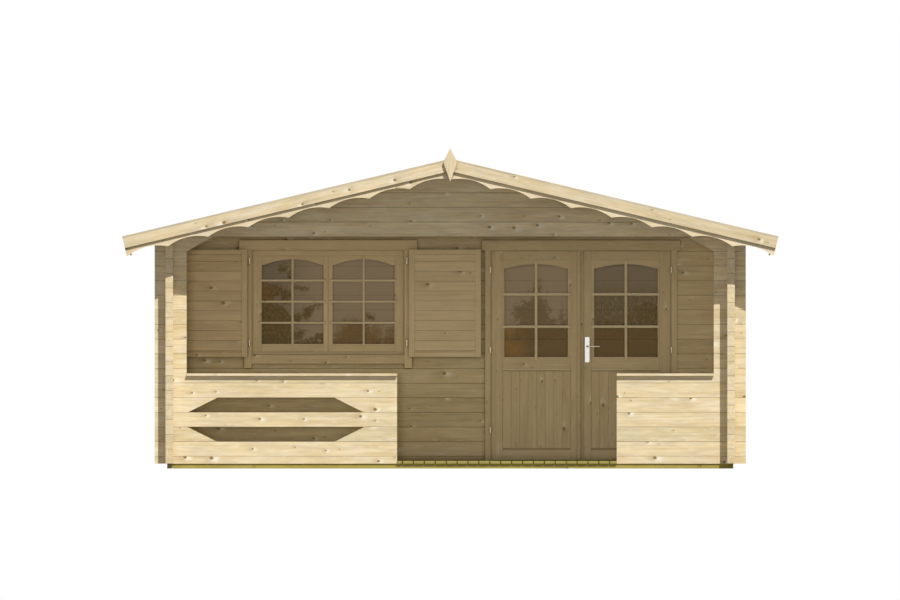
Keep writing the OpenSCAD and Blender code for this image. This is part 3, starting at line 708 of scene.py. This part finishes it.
finishes = {
    logs("gable_logs", LEVEL, 43, cross_joint, PORCH_DEPTH, GABLE_WOOD): ("porch_gable",),
    logs("balustrade_logs", LEVEL, 3, cross_joint, PORCH_DEPTH, shut_in=0.3): both("balustrade"),
    logs("corner_log_wood", LEVEL, 3, cross_joint, PORCH_DEPTH, CORNER_WOOD, 0.2): ("corner_logs",),
    logs("room_logs", LEVEL, 57, cross_joint, ROOM_DEPTH, ROOM_WOOD, 0.6, contact=0.6,
         figure=0.7): ("front_wall_left", "front_wall_under_window", "front_wall_middle",
                       "front_wall_gable"),
    logs("door_side_logs", LEVEL, 57, cross_joint, ROOM_DEPTH, DOOR_SIDE_WOOD, 0.4,
         figure=0.5): ("front_wall_right",),
    logs("back_logs", LEVEL, 101, cross_joint, BACK_DEPTH): ("back_wall",),
    logs("left_logs", LOG_SIDE, 143, base_top, -SIDE_DEPTH, shut_in=0.4, shade=0.75): (
        "left_side_wall",),
    logs("right_logs", LOG_SIDE, 187, base_top, SIDE_DEPTH, shut_in=0.4, shade=0.75): (
        "right_side_wall",),
    frame_wood("purlin_wood", DEEP, 220, start=-3.2, course=0.8): ("ridge_purlin", "side_purlins"),
    frame_wood("cap_wood", (X, Y, Z), 240): ("balustrade_caps",),
    frame_wood("barge_wood", SLOPE, 263, BARGE_WOOD, folded=True, knots=1.0): both("bargeboard"),
    frame_wood("back_barge_wood", SLOPE, 300, folded=True, knots=0.35): both("back_bargeboard"),
    frame_wood("scallop_wood", SLOPE, 340, folded=True, knots=0.35): both("scalloped_board"),
    frame_wood("batten_wood", SLOPE, 380, BATTEN_WOOD, folded=True, knots=0.2): both("verge_battens"),
    frame_wood("eave_wood", LOG_SIDE, 420, start=-8.0, course=4.0): ("eave_boards",),
    frame_wood("finial_wood", UPRIGHT, 440, knots=0.0): ("finial",),
    frame_wood("base_wood", LEVEL, 480, BEAM_WOOD, shut_in=0.75): ("base_frame",),
    glass_pane(): ("window_glass", *both("door_glass")),
    # Hinge flaps beyond 5 mm from the pins are painted darker: painted shade, so only the knuckles
    # shine
    metal("hinge_metal", (0.90, 0.78, 0.58), 0.45, 0.2, hinge_pins, 0.005, (0.35, 0.28, 0.20)): (
        "door_hinges", *both("door_knuckles"), "shutter_hinges", *both("shutter_eyes")),
    # The plate is painted dark beyond 19.5 mm from the spindle: a painted shadow along its sides
    metal("plate_metal", (0.88, 0.86, 0.80), 0.3, 0.1, (spindle_x,), 0.0195,
          (0.14, 0.12, 0.11)): ("handle_plates",),
    lever_metal: ("door_lever",),
}
for finish, wearers in finishes.items():
    for wearer in wearers:
        materials = nodes[wearer].data.materials
        materials.clear()
        materials.append(finish)


def soften(names, width=0.0015):
    """Ease the sharp edges of solid boards."""
    for name in names:
        made = nodes[name].modifiers.new("eased", "BEVEL")
        made.width = width
        made.segments = 2
        made.limit_method = "ANGLE"


soften((*both("bargeboard"), *both("back_bargeboard"), *both("scalloped_board"),
        *both("verge_battens"), "balustrade_caps", "finial", "eave_boards", "ridge_purlin",
        "side_purlins"))
soften(("base_frame",), width=0.003)


def wood_pair(name, wood, knots=0.45, rim=0.12, shut_in=1.0):
    """The same wood on its long faces and on its sawn ends."""
    return [board_wood(name, wood, knots, rim=rim, shut_in=shut_in),
            board_wood(name + "_end", wood, end=1.0, shut_in=shut_in)]


roof_pair = wood_pair("roof_wood", ROOF_WOOD)
floor_pair = wood_pair("floor_wood", BOARD_WOOD)
deck_pair = [board_wood("deck_wood", GREEN_WOOD, 0.4, rim=0.12),
             board_wood("deck_end", GREEN_END, end=1.0)]
gap_shade_pair = wood_pair("gap_shade_wood", GAP_SHADE_WOOD, 0.0)
joinery_pair = wood_pair("joinery_wood", JOINERY_WOOD, 0.35, shut_in=0.8)
shutter_pair = wood_pair("shutter_wood", SHUTTER_WOOD, 0.4, shut_in=0.4)
door_pair = wood_pair("door_wood", DOOR_WOOD, 0.5, rim=0.05, shut_in=0.6)
jamb_pair = wood_pair("jamb_wood", JAMB_WOOD, 0.2, shut_in=0.2)
lattice_pair = wood_pair("lattice_wood", LATTICE_WOOD, 0.1, shut_in=0.1)

# How far the long edges of boards are eased
FINE, EASED, SMOOTH, ROUNDED, BROAD = 0.001, 0.0015, 0.002, 0.0025, 0.003
# Half of the gap between two boards that are pushed together
CLOSE = 0.0003


def side_by_side(low, high, pitch):
    """The two edges of each board of a row that fills a width, at about a pitch."""
    count = round((high - low) / pitch)
    step = (high - low) / count
    return [(low + i * step + CLOSE, low + (i + 1) * step - CLOSE) for i in range(count)]


# ---- roof, deck and floor
ROOF_PLANK, ROOF_JOINT = 0.096, 0.004
DECK_PLANK, DECK_START, DECK_GAP, DECK_NOSE = 0.1006, -0.440, 0.009, 0.003
NARROWEST_PLANK = 0.02
TONGUE_BACK, TONGUE_UP, TONGUE_DOWN = 0.006, 0.002, 0.006
FLOOR_PLANK = 0.096


def roof_planks(side, seed):
    """Tongued boards from the ridge down to the eave, with a V joint on the underside."""
    boards = Boards(seed)
    drop = roof_high.x * math.tan(PITCH)
    thick = (roof_high.z - roof_low.z - drop) / math.cos(PITCH)
    eave = Vector((roof_high.x, 0, roof_high.z - drop))

    def mirrored(place):
        return Vector((side * place.x, place.y, place.z))

    for y0, y1 in side_by_side(roof_low.y, roof_high.y, ROOF_PLANK):
        profile = [(y0 + FINE, 0), (y1 - FINE, 0), (y1, FINE), (y1, thick - ROOF_JOINT),
                   (y1 - ROOF_JOINT, thick), (y0 + ROOF_JOINT, thick), (y0, thick - ROOF_JOINT),
                   (y0, FINE)]
        rings = [[Vector((0, y, roof_high.z - down / math.cos(PITCH))) for y, down in profile],
                 [eave - SLOPE[1] * down + Y * y for y, down in profile]]
        boards.solid([[mirrored(place) for place in ring] for ring in rings],
                     (mirrored(SLOPE[0]), Y, mirrored(SLOPE[1])))
    name = "right" if side > 0 else "left"
    boards.make(name + "_roof_planks", roof_pair, [name + "_roof_boards"])


def terrace_planks():
    """Terrace boards from the porch front to the room; those in the entrance reach out over the
    base. The joints between them are closed lower down by dark tongues, a painted shade deep in the
    gaps."""
    boards = Boards(2000)
    tongues = Boards(2100)
    first = math.floor((deck_low.x - DECK_START) / DECK_PLANK)
    last = math.ceil((deck_high.x - DECK_START) / DECK_PLANK)
    for i in range(first, last):
        x0 = max(DECK_START + i * DECK_PLANK + DECK_GAP / 2, deck_low.x)
        x1 = min(DECK_START + (i + 1) * DECK_PLANK - DECK_GAP / 2, deck_high.x)
        if x1 - x0 < NARROWEST_PLANK:
            continue
        # A board that crosses the edge of the entrance is notched round the balustrade
        cuts = [x0, *(x for x in entrance if x0 < x < x1), x1]
        fronts = [deck_low.y - DECK_NOSE if entrance[0] <= a and b <= entrance[1] else rail_back
                  for a, b in zip(cuts, cuts[1:])]
        if len(fronts) == 1:
            boards.bar((x0, fronts[0], deck_low.z), (x1, deck_high.y, deck_high.z), DEEP, SMOOTH)
        else:
            outline = [(x, front) for ends, front in zip(zip(cuts, cuts[1:]), fronts) for x in ends]
            outline += [(x1, deck_high.y), (x0, deck_high.y)]
            boards.solid([[(x, y, z) for x, y in outline] for z in (deck_low.z, deck_high.z)], DEEP)
        if x1 + DECK_GAP < deck_high.x:
            tongues.bar((x1, fronts[-1] + TONGUE_BACK, deck_low.z + TONGUE_UP),
                        (x1 + DECK_GAP, deck_high.y, deck_high.z - TONGUE_DOWN), DEEP)
    boards.make("terrace_planks", deck_pair, ["terrace_deck"])
    tongues.make("terrace_tongues", gap_shade_pair)


def floor_planks():
    """Floor boards of the room, from the door to the back wall."""
    boards = Boards(2200)
    for x0, x1 in side_by_side(floor_low.x, floor_high.x, FLOOR_PLANK):
        boards.bar((x0, floor_low.y, floor_low.z), (x1, floor_high.y, floor_high.z), DEEP, EASED)
    boards.make("floor_planks", floor_pair, ["room_floor"])


# ---- window and frames
SASH_MEETING, SASH_SPLIT, SASH_RISE = 0.042, 0.0012, 0.052
SASH_BARS = {"wide": 0.020, "thick": 0.010, "edge": 0.004}
# How far the bars run on to the sash at the foot, the head, the left and the right
BAR_FOOT, BAR_HEAD, BAR_LEFT, BAR_RIGHT = 0.017, 0.026, 0.025, 0.022
CASING, CASING_IN, HEAD_BOARD = 0.070, 0.012, 0.093
SILL_BOARD_FROM, SILL_BOARD_TO = 0.110, 0.027


def arched_rail(boards, x0, x1, pane, rise, z1, y0, y1):
    """The head rail over a pane: its lower edge is the arch and shoulders of the pane."""
    foot = pane[3] - rise
    arch = arch_points(pane[0] + SHOULDER, pane[1] - SHOULDER, foot, rise)
    boards.plate([(x0, foot), *arch, (x1, foot), (x1, z1), (x0, z1)], y0, y1, LEVEL)


sash_middle = (sash_low.x + sash_high.x) / 2
# (x0, x1, z0, z1) of the two panes
window_panes = ((pane_low.x, sash_middle - SASH_MEETING, pane_low.z, pane_high.z),
                (sash_middle + SASH_MEETING, pane_high.x, pane_low.z, pane_high.z))


def window_casements():
    """The two casements: stiles, a foot rail and an arched head rail round each pane."""
    boards = Boards(2400)
    y0, y1 = sash_low.y, sash_high.y
    for pane, (x0, x1) in zip(window_panes, ((sash_low.x, sash_middle - SASH_SPLIT),
                                             (sash_middle + SASH_SPLIT, sash_high.x))):
        boards.stiles((x0, *pane[:2], x1), (y0, y1), (sash_low.z, sash_high.z), EASED)
        boards.bar((pane[0], y0, sash_low.z), (pane[1], y1, pane[2]), LEVEL, FINE)
        arched_rail(boards, pane[0], pane[1], pane, SASH_RISE, sash_high.z, y0, y1)
        beads(boards, pane, SASH_RISE, ((y0, pane_low.y), (y1, pane_high.y)))
    boards.make("window_casements", joinery_pair, ["window_sashes"])


def window_lattice():
    """One upright and three level bars on both sides of each pane."""
    boards = Boards(2500)
    for face, out in ((sash_low.y, -1), (sash_high.y, 1)):
        for x0, x1, z0, z1 in window_panes:
            step = (z1 - z0) / 4
            lattice(boards, [((x0 + x1) / 2, z0 - BAR_FOOT, z1 + BAR_HEAD)],
                    [(z0 + step * i, x0 - BAR_LEFT, x1 + BAR_RIGHT) for i in (1, 2, 3)],
                    face, out, **SASH_BARS)
    boards.make("window_lattice", lattice_pair)


def rebated_frame(name, seed, wood, opening, sill, lip, rebate_y):
    """The jambs, the head and the foot of a frame, with a lip behind the sash or the door; opening
    is (x0, x1, z0, z1) inside the lip, and sill is the top of the foot in front of it."""
    boards = Boards(seed)
    low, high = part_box(name)
    rebate = (opening[0] - lip, opening[1] + lip, sill, opening[3] + lip)
    for outer, inner, y0 in (((low.x, high.x, low.z, high.z), rebate, low.y),
                             (rebate, opening, rebate_y)):
        boards.stiles((outer[0], *inner[:2], outer[1]), (y0, high.y), outer[2:], EASED)
        for z0, z1 in ((inner[3], outer[3]), (outer[2], inner[2])):
            if z1 > z0:
                boards.bar((inner[0], y0, z0), (inner[1], high.y, z1), LEVEL, FINE)
    boards.make(name + "_boards", wood, [name])


def frames():
    """The frame of the window and that of the double door."""
    rebate, lip, gap = 0.014, 0.015, 0.001
    opening = (sash_low.x + rebate, sash_high.x - rebate, sash_low.z + rebate, sash_high.z - rebate)
    rebated_frame("window_frame", 2700, joinery_pair, opening, sash_low.z - gap, lip, sash_high.y)
    inside, lip, gap = 0.055, 0.016, 0.006
    low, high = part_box("door_frame")
    opening = (low.x + inside, high.x - inside, deck_high.z, high.z - inside)
    rebated_frame("door_frame", 2750, jamb_pair, opening, deck_high.z, lip,
                  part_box("left_door")[1].y + gap)


def window_casing():
    """The boards that cover the joint between the window frame and the logs."""
    boards = Boards(2600)
    y0, y1 = casing_low.y, casing_high.y
    head = casing_high.z - HEAD_BOARD
    left, right = sash_low.x - CASING_IN, sash_high.x + CASING_IN
    boards.stiles((left - CASING, left, right, right + CASING), (y0, y1), (casing_low.z, head),
                  ROUNDED)
    boards.bar((casing_low.x, y0, head), (casing_high.x, y1, casing_high.z), LEVEL, ROUNDED)
    boards.bar((left, y0, sash_low.z - SILL_BOARD_FROM), (right, y1, sash_low.z - SILL_BOARD_TO),
               LEVEL, ROUNDED)
    boards.make("window_casing", joinery_pair, ["window_trim"])


# ---- shutters
SHUTTER_STILE, SHUTTER_RAIL = 0.055, 0.046
SHUTTER_BOARD, SHUTTER_FIRST = 0.0913, 0.063
SHUTTER_SINK, SHUTTER_JOINT = 0.006, 0.0022
THINNEST_BOARD = 0.002


def shutter_leaf(name, seed, wood):
    """A framed shutter with level boards let into it."""
    boards = Boards(seed)
    low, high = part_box(name)
    x0, x1 = low.x + SHUTTER_STILE, high.x - SHUTTER_STILE
    z0, z1 = low.z + SHUTTER_RAIL, high.z - SHUTTER_RAIL
    boards.stiles((low.x, x0, x1, high.x), (low.y, high.y), (low.z, high.z), BROAD)
    boards.bar((x0, low.y, low.z), (x1, high.y, z0), LEVEL, ROUNDED)
    boards.bar((x0, low.y, z1), (x1, high.y, high.z), LEVEL, ROUNDED)
    top, foot = z1, z1 - SHUTTER_FIRST
    while top > z0 + THINNEST_BOARD:
        boards.bar((x0, low.y + SHUTTER_SINK, max(foot, z0) + CLOSE),
                   (x1, high.y - SHUTTER_SINK, top - CLOSE), LEVEL, SHUTTER_JOINT)
        top, foot = foot, foot - SHUTTER_BOARD
    boards.make(name + "_leaf", wood, [name], body=name)


# ---- double door
LEAF_RISE = 0.039
STILE, MEETING_STILE = 0.108, 0.091
PANEL_FOOT, PANEL_HEAD, PANEL_SINK = 0.173, 0.904, 0.004
FOOT_GROOVE, HEAD_GROOVE, GROOVE_SINK = 0.016, 0.007, 0.018
PANEL_BOARD = 0.078
HEAD_RAIL = 1.922
STRIPS = {-1: 0.030, 1: 0.015}
STRIP_LAP, STRIP_EDGE = 0.0025, 0.004
# How far the slips beside the pane and the arched head lie under the face of the stiles
SLIP_SINK, ARCH_SINK = 0.0015, 0.001
DOOR_BAR_HEIGHTS = (1.309, 1.607)
DOOR_BARS = {"wide": 0.025, "thick": 0.009, "edge": 0.004}
DOOR_BAR_FOOT, DOOR_BAR_HEAD, DOOR_BAR_NEAR, DOOR_BAR_FAR = 0.030, 0.029, 0.026, 0.018
PANEL_MOULDING = {"wide": 0.012, "thick": 0.003, "edge": 0.001}
MOULDING_UP, MOULDING_SHORT = 0.008, 0.004


def door_leaf(side):
    """One leaf: stiles, rails and arched head round the pane, with upright boards in the panel."""
    name = "left_door" if side < 0 else "right_door"
    boards = Boards(3000 + 100 * side)
    low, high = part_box(name)
    pane_from, pane_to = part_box(name + "_glass")
    y0, y1 = wall_face, high.y
    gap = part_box("right_door")[0].x - door_meeting
    edge = abs((low.x if side < 0 else high.x) - door_meeting)
    inner, outer = gap + MEETING_STILE, edge - STILE
    pane = (pane_from.x, pane_to.x, pane_from.z, pane_to.z)
    near, far = sorted((abs(pane[0] - door_meeting), abs(pane[1] - door_meeting)))
    shoulder = pane[3] - LEAF_RISE

    def between(u0, u1):
        """The x of two distances from the meeting line of the doors, the smaller first."""
        return sorted((door_meeting + side * u0, door_meeting + side * u1))

    def piece(u0, u1, z0, z1, grain, eased, sink=0.0):
        x0, x1 = between(u0, u1)
        boards.bar((x0, y0 + sink, z0), (x1, y1 - sink, z1), grain, eased)

    piece(gap, inner, low.z, high.z, UPRIGHT, SMOOTH)
    piece(outer, edge, low.z, high.z, UPRIGHT, SMOOTH)
    piece(inner, outer, low.z, PANEL_FOOT, LEVEL, EASED)
    piece(inner, outer, PANEL_HEAD, pane[2], LEVEL, EASED)
    piece(inner, near, pane[2], shoulder, UPRIGHT, FINE, SLIP_SINK)
    piece(far, outer, pane[2], shoulder, UPRIGHT, FINE, SLIP_SINK)
    x0, x1 = between(inner, outer)
    arched_rail(boards, x0, x1, pane, LEAF_RISE, HEAD_RAIL, y0 + ARCH_SINK, y1 - ARCH_SINK)
    piece(inner, outer, HEAD_RAIL, high.z, LEVEL, ROUNDED)

    z0, z1 = PANEL_FOOT + FOOT_GROOVE, PANEL_HEAD - HEAD_GROOVE
    for u0, u1 in side_by_side(inner, outer, PANEL_BOARD):
        piece(u0, u1, z0, z1, UPRIGHT, EASED, PANEL_SINK)
    piece(inner, outer, PANEL_FOOT, z0, LEVEL, 0.0, GROOVE_SINK)
    piece(inner, outer, z1, PANEL_HEAD, LEVEL, 0.0, GROOVE_SINK)

    strip = between(gap - STRIP_LAP, gap + STRIPS[side])
    boards.bar((strip[0], low.y, low.z), (strip[1], y0, high.z), UPRIGHT, STRIP_EDGE)
    beads(boards, pane, LEAF_RISE, ((y0, pane_from.y), (y1, pane_to.y)))
    boards.make(name + "_leaf", door_pair, [name], body=name)

    bars = Boards(3300 + 100 * side)
    upright = ((pane[0] + pane[1]) / 2, pane[2] - DOOR_BAR_FOOT, pane[3] + DOOR_BAR_HEAD)
    reach = between(near - DOOR_BAR_NEAR, far + DOOR_BAR_FAR)
    for face, out in ((y0, -1), (y1, 1)):
        lattice(bars, [upright], [(z, *reach) for z in DOOR_BAR_HEIGHTS], face, out, **DOOR_BARS)
        # The moulding over the panel is in the paler lattice wood: painted light on its edge
        lattice(bars, (), [(PANEL_HEAD + MOULDING_UP, x0 + MOULDING_SHORT, x1 - MOULDING_SHORT)],
                face, out, **PANEL_MOULDING)
    bars.make(name + "_lattice", lattice_pair, body=name)


SPINDLE_RADIUS = 0.0075
KEYHOLE_RADIUS, KEYHOLE_DOWN = 0.0042, 0.055
KEY_SLOT, KEY_SLOT_FROM, KEY_SLOT_TO = 0.0032, 0.013, 0.001
ROUND_STEPS = 16


def round_plate(boards, z, radius, y0, y1):
    """A round plate in line with the spindle of the lever, at a height."""
    turns = [math.tau * i / ROUND_STEPS for i in range(ROUND_STEPS)]
    boards.plate([(spindle_x + radius * math.cos(t), z + radius * math.sin(t)) for t in turns],
                 y0, y1, UPRIGHT)


def door_furniture():
    """The spindle end on the lever, and the keyholes of the lock under it."""
    proud, deep = 0.0005, 0.003
    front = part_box("door_lever")[0].y
    boards = Boards(3600)
    round_plate(boards, spindle_z, SPINDLE_RADIUS, front - proud, front + deep)
    boards.make("spindle_end", [dark_metal] * 2, body="lever")

    proud, deep = 0.0004, 0.002
    low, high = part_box("handle_plates")
    boards = Boards(3610)
    z = spindle_z - KEYHOLE_DOWN
    for y0, y1 in ((low.y - proud, low.y + deep), (high.y - deep, high.y + proud)):
        round_plate(boards, z, KEYHOLE_RADIUS, y0, y1)
        boards.bar((spindle_x - KEY_SLOT / 2, y0, z - KEY_SLOT_FROM),
                   (spindle_x + KEY_SLOT / 2, y1, z - KEY_SLOT_TO), UPRIGHT)
    boards.make("keyholes", [lever_metal] * 2, body="right_door")


def door_casing():
    """The boards that cover the joint between the door frame and the logs."""
    boards = Boards(3500)
    y0, y1 = hood_low.y, hood_high.y
    head = hood_high.z - HEAD_BOARD
    over, lap, head_lap = 0.010, 0.0425, 0.002
    low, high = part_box("door_frame")
    boards.stiles((low.x - over, low.x + lap, high.x - lap, high.x + over), (y0, y1),
                  (hood_low.z, head), EASED)
    boards.bar((hood_low.x, y0, head - head_lap), hood_high, LEVEL, ROUNDED)
    boards.make("door_casing", door_pair, ["door_trim"])


roof_planks(-1, 1000)
roof_planks(1, 1500)
terrace_planks()
floor_planks()
window_casements()
window_lattice()
window_casing()
frames()
shutter_leaf("left_shutter", 2800, joinery_pair)
shutter_leaf("right_shutter", 2850, shutter_pair)
door_leaf(-1)
door_leaf(1)
door_casing()
door_furniture()


# ---- light, sky and ground
FILL_TINT = (1.0, 0.99, 0.98)
# Name, direction, strength, spread in degrees and tint
LAMPS = (("sun", (0.69, -1.0, 1.83), 1.50, 0.7, (1.0, 1.0, 1.0)),
         ("front_fill", (-0.02, -1.0, 0.0), 0.142, 5.0, FILL_TINT),
         ("wide_fill", (-0.16, -1.0, 0.0), 0.108, 50.0, FILL_TINT),
         ("back_fill", (-0.8, 0.9, 0.9), 0.25, 70.0, (1.0, 1.0, 1.0)))


def daylight():
    """A sun from the right of the porch, and soft light from in front and behind. Only the sun
    shows in gloss and through glass."""
    for name, toward, strength, spread, tint in LAMPS:
        data = bpy.data.lights.new(name, "SUN")
        data.energy = strength * math.pi
        data.angle = math.radians(spread)
        data.color = tint
        lamp = new_object(name, data)
        lamp.visible_glossy = lamp.visible_transmission = name == "sun"
        lamp.rotation_mode = "QUATERNION"
        lamp.rotation_quaternion = Vector(toward).to_track_quat("Z", "Y")


def shown_directly(tree):
    """1 for what the camera sees, by itself or through glass or a gloss."""
    path = outputs(tree, "ShaderNodeLightPath")
    seen = calc("MAXIMUM", path["Is Camera Ray"], path["Is Glossy Ray"])
    return calc("MAXIMUM", seen, path["Is Transmission Ray"])


def sky():
    """A dim, even sky that looks white."""
    world = bpy.data.worlds.new("sky")
    world.use_nodes = True
    tree = world.node_tree
    dim, white = (0.08, 0.08, 0.08), (1, 1, 1)
    blend(shown_directly(tree), dim, white).into(tree.nodes["Background"].inputs[0])
    bpy.context.scene.world = world


def ground():
    """A pale floor just under the house. It throws little light back up, and the low fill light
    passes through it."""
    half, under = 60, -0.001
    mesh = bpy.data.meshes.new("floor")
    mesh.from_pydata([(-half, -half, under), (half, -half, under), (half, half, under),
                      (-half, half, under)], [], [(0, 1, 2, 3)])
    made = new_object("floor", mesh)
    material, tree, _ = new_material("floor")
    pale = add(tree, "ShaderNodeBsdfDiffuse", {0: (0.72, 0.72, 0.72, 1)})
    dim = add(tree, "ShaderNodeBsdfDiffuse", {0: (0.07, 0.07, 0.065, 1)})
    seen = mix_shaders(0.5, pale, add(tree, "ShaderNodeEmission"))
    solid = mix_shaders(shown_directly(tree), dim, seen)
    shadow = add(tree, "ShaderNodeLightPath", output="Is Shadow Ray")
    open_to_light = mix_shaders(shadow, solid, add(tree, "ShaderNodeBsdfTransparent"))
    open_to_light.into(tree.nodes["Material Output"].inputs[0])
    mesh.materials.append(material)


daylight()
sky()
ground()
bpy.context.scene.view_settings.view_transform = "Standard"
